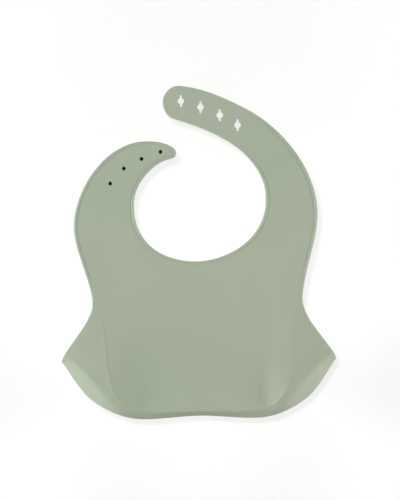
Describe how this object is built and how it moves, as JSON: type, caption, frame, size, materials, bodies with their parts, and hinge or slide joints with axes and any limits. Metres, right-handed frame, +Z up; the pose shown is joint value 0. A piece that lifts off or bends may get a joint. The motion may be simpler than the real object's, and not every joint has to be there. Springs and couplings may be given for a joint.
{
  "type": "silicone bib",
  "caption": "Soft moulded silicone baby bib in matte sage green, with a scoop pocket; a stud strap and a hole strap fasten round the neck.",
  "frame": {"origin": "centre of the neck opening, in the plane of the back face", "axes": "+Z up as worn, towards the straps; +Y out of the back face, towards the wearer; the pocket bulges towards -Y; the stud strap is on +X and the hole strap on -X"},
  "size_m": [0.2288, 0.047, 0.2766],
  "materials": {
    "silicone": "matte moulded silicone"
  },
  "bodies": {
    "chest": {"chest_panel": "silicone"},
    "lower": {"lower_panel": "silicone", "pocket_bottom": "silicone", "pocket_side_studs": "silicone", "pocket_side_holes": "silicone"},
    "pocket_front": {"pocket_front": "silicone"},
    "stud_base": {"stud_strap_base": "silicone", "stud_1": "silicone"},
    "stud_middle": {"stud_strap_middle": "silicone", "stud_2": "silicone", "stud_3": "silicone"},
    "stud_tip": {"stud_strap_tip": "silicone", "stud_4": "silicone"},
    "hole_base": {"hole_strap_base": "silicone"},
    "hole_shoulder": {"hole_strap_shoulder": "silicone"},
    "hole_back": {"hole_strap_back": "silicone"},
    "hole_holes": {"hole_strap_holes": "silicone"},
    "hole_tip": {"hole_strap_tip": "silicone"}
  },
  "joints": [
    {"name": "waist_flex", "type": "hinge", "parent": "chest", "child": "lower", "pos_m": [0.004, -0.001, -0.072], "axis": [1, 0, 0], "range_deg": [-40, 20], "stiffness_Nm_per_rad": 0.3},
    {"name": "pocket_front_flex", "type": "hinge", "parent": "lower", "child": "pocket_front", "pos_m": [0.004, -0.022, -0.1775], "axis": [1, 0, 0], "range_deg": [-20, 12], "stiffness_Nm_per_rad": 0.15},
    {"name": "stud_strap_root_flex", "type": "hinge", "parent": "chest", "child": "stud_base", "pos_m": [0.07459, -0.001, -0.00784], "axis": [-0.9945, 0, 0.1045], "range_deg": [-12, 28], "stiffness_Nm_per_rad": 0.05},
    {"name": "stud_strap_middle_flex", "type": "hinge", "parent": "stud_base", "child": "stud_middle", "pos_m": [0.07191, -0.001, 0.0213], "axis": [-0.9588, 0, -0.284], "range_deg": [-12, 28], "stiffness_Nm_per_rad": 0.03},
    {"name": "stud_strap_tip_flex", "type": "hinge", "parent": "stud_middle", "child": "stud_tip", "pos_m": [0.05503, -0.001, 0.05096], "axis": [-0.7337, 0, -0.6794], "range_deg": [-12, 28], "stiffness_Nm_per_rad": 0.03},
    {"name": "hole_strap_root_flex", "type": "hinge", "parent": "chest", "child": "hole_base", "pos_m": [-0.07459, -0.001, -0.00784], "axis": [-0.9945, 0, -0.1045], "range_deg": [-12, 28], "stiffness_Nm_per_rad": 0.05},
    {"name": "hole_strap_shoulder_flex", "type": "hinge", "parent": "hole_base", "child": "hole_shoulder", "pos_m": [-0.07133, -0.001, 0.02318], "axis": [-0.9511, 0, 0.309], "range_deg": [-12, 28], "stiffness_Nm_per_rad": 0.03},
    {"name": "hole_strap_back_flex", "type": "hinge", "parent": "hole_shoulder", "child": "hole_back", "pos_m": [-0.05745, -0.001, 0.04821], "axis": [-0.766, 0, 0.6428], "range_deg": [-12, 28], "stiffness_Nm_per_rad": 0.03},
    {"name": "hole_strap_holes_flex", "type": "hinge", "parent": "hole_back", "child": "hole_holes", "pos_m": [-0.02761, -0.001, 0.06973], "axis": [-0.3681, 0, 0.9298], "range_deg": [-12, 28], "stiffness_Nm_per_rad": 0.03},
    {"name": "hole_strap_tip_flex", "type": "hinge", "parent": "hole_holes", "child": "hole_tip", "pos_m": [0.00536, -0.001, 0.07481], "axis": [0.0715, 0, 0.9974], "range_deg": [-12, 28], "stiffness_Nm_per_rad": 0.03}
  ],
  "couplings": [
    {"joint": "stud_strap_middle_flex", "follows": "stud_strap_root_flex", "ratio": 1},
    {"joint": "stud_strap_tip_flex", "follows": "stud_strap_root_flex", "ratio": 1},
    {"joint": "hole_strap_shoulder_flex", "follows": "hole_strap_root_flex", "ratio": 1},
    {"joint": "hole_strap_back_flex", "follows": "hole_strap_root_flex", "ratio": 1},
    {"joint": "hole_strap_holes_flex", "follows": "hole_strap_root_flex", "ratio": 1},
    {"joint": "hole_strap_tip_flex", "follows": "hole_strap_root_flex", "ratio": 1}
  ]
}
